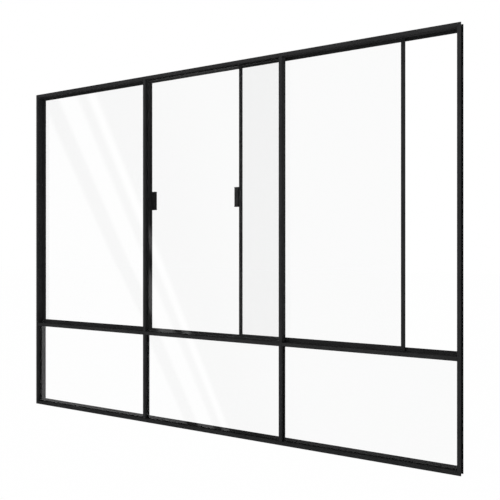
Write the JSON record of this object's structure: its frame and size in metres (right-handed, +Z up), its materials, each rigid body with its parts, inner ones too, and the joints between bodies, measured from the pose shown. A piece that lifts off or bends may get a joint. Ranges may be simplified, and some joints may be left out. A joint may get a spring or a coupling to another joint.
{
  "type": "sliding window",
  "caption": "Slim black framed window wall with fixed glass below and in the middle above, and two slim sliding sashes with block pulls running behind the frame.",
  "frame": {"origin": "on the recessed outer web of the sill, in the middle of its length and depth", "axes": "+X along the width to the right as seen from the front, +Y from the front through the window to the back, +Z up"},
  "size_m": [3, 0.065, 2.2],
  "materials": {
    "coat": "satin black powder coating",
    "handle": "satin black",
    "rubber": "matt black gasket",
    "nylon": "dark nylon",
    "glass": "clear float glass"
  },
  "bodies": {
    "root": {"frame_sill": "coat", "frame_head": "coat", "frame_jamb_left": "coat", "frame_jamb_right": "coat", "mullion_left": "coat", "mullion_right": "coat", "transom_left": "coat", "transom_middle": "coat", "transom_right": "coat", "head_track": "coat", "jamb_channel_left": "coat", "jamb_channel_right": "coat", "bottom_track": "coat", "sill_cover": "coat", "jamb_cover_left": "coat", "jamb_cover_right": "coat", "glass_lower_left": "glass", "glass_lower_middle": "glass", "glass_lower_right": "glass", "glass_upper_middle": "glass", "gasket_lower_left": "rubber", "gasket_lower_middle": "rubber", "gasket_lower_right": "rubber", "gasket_upper_middle": "rubber", "bead_lower_left": "coat", "bead_lower_middle": "coat", "bead_lower_right": "coat", "bead_upper_middle": "coat", "sash_left_stile_outer": "coat", "sash_left_stile_inner": "coat", "sash_left_rail_top": "coat", "sash_left_rail_bottom": "coat", "sash_left_glass": "glass", "sash_left_handle": "handle", "sash_left_roller_left": "nylon", "sash_left_roller_right": "nylon", "sash_right_stile_outer": "coat", "sash_right_stile_inner": "coat", "sash_right_rail_top": "coat", "sash_right_rail_bottom": "coat", "sash_right_glass": "glass", "sash_right_handle": "handle", "sash_right_roller_left": "nylon", "sash_right_roller_right": "nylon"}
  },
  "joints": []
}
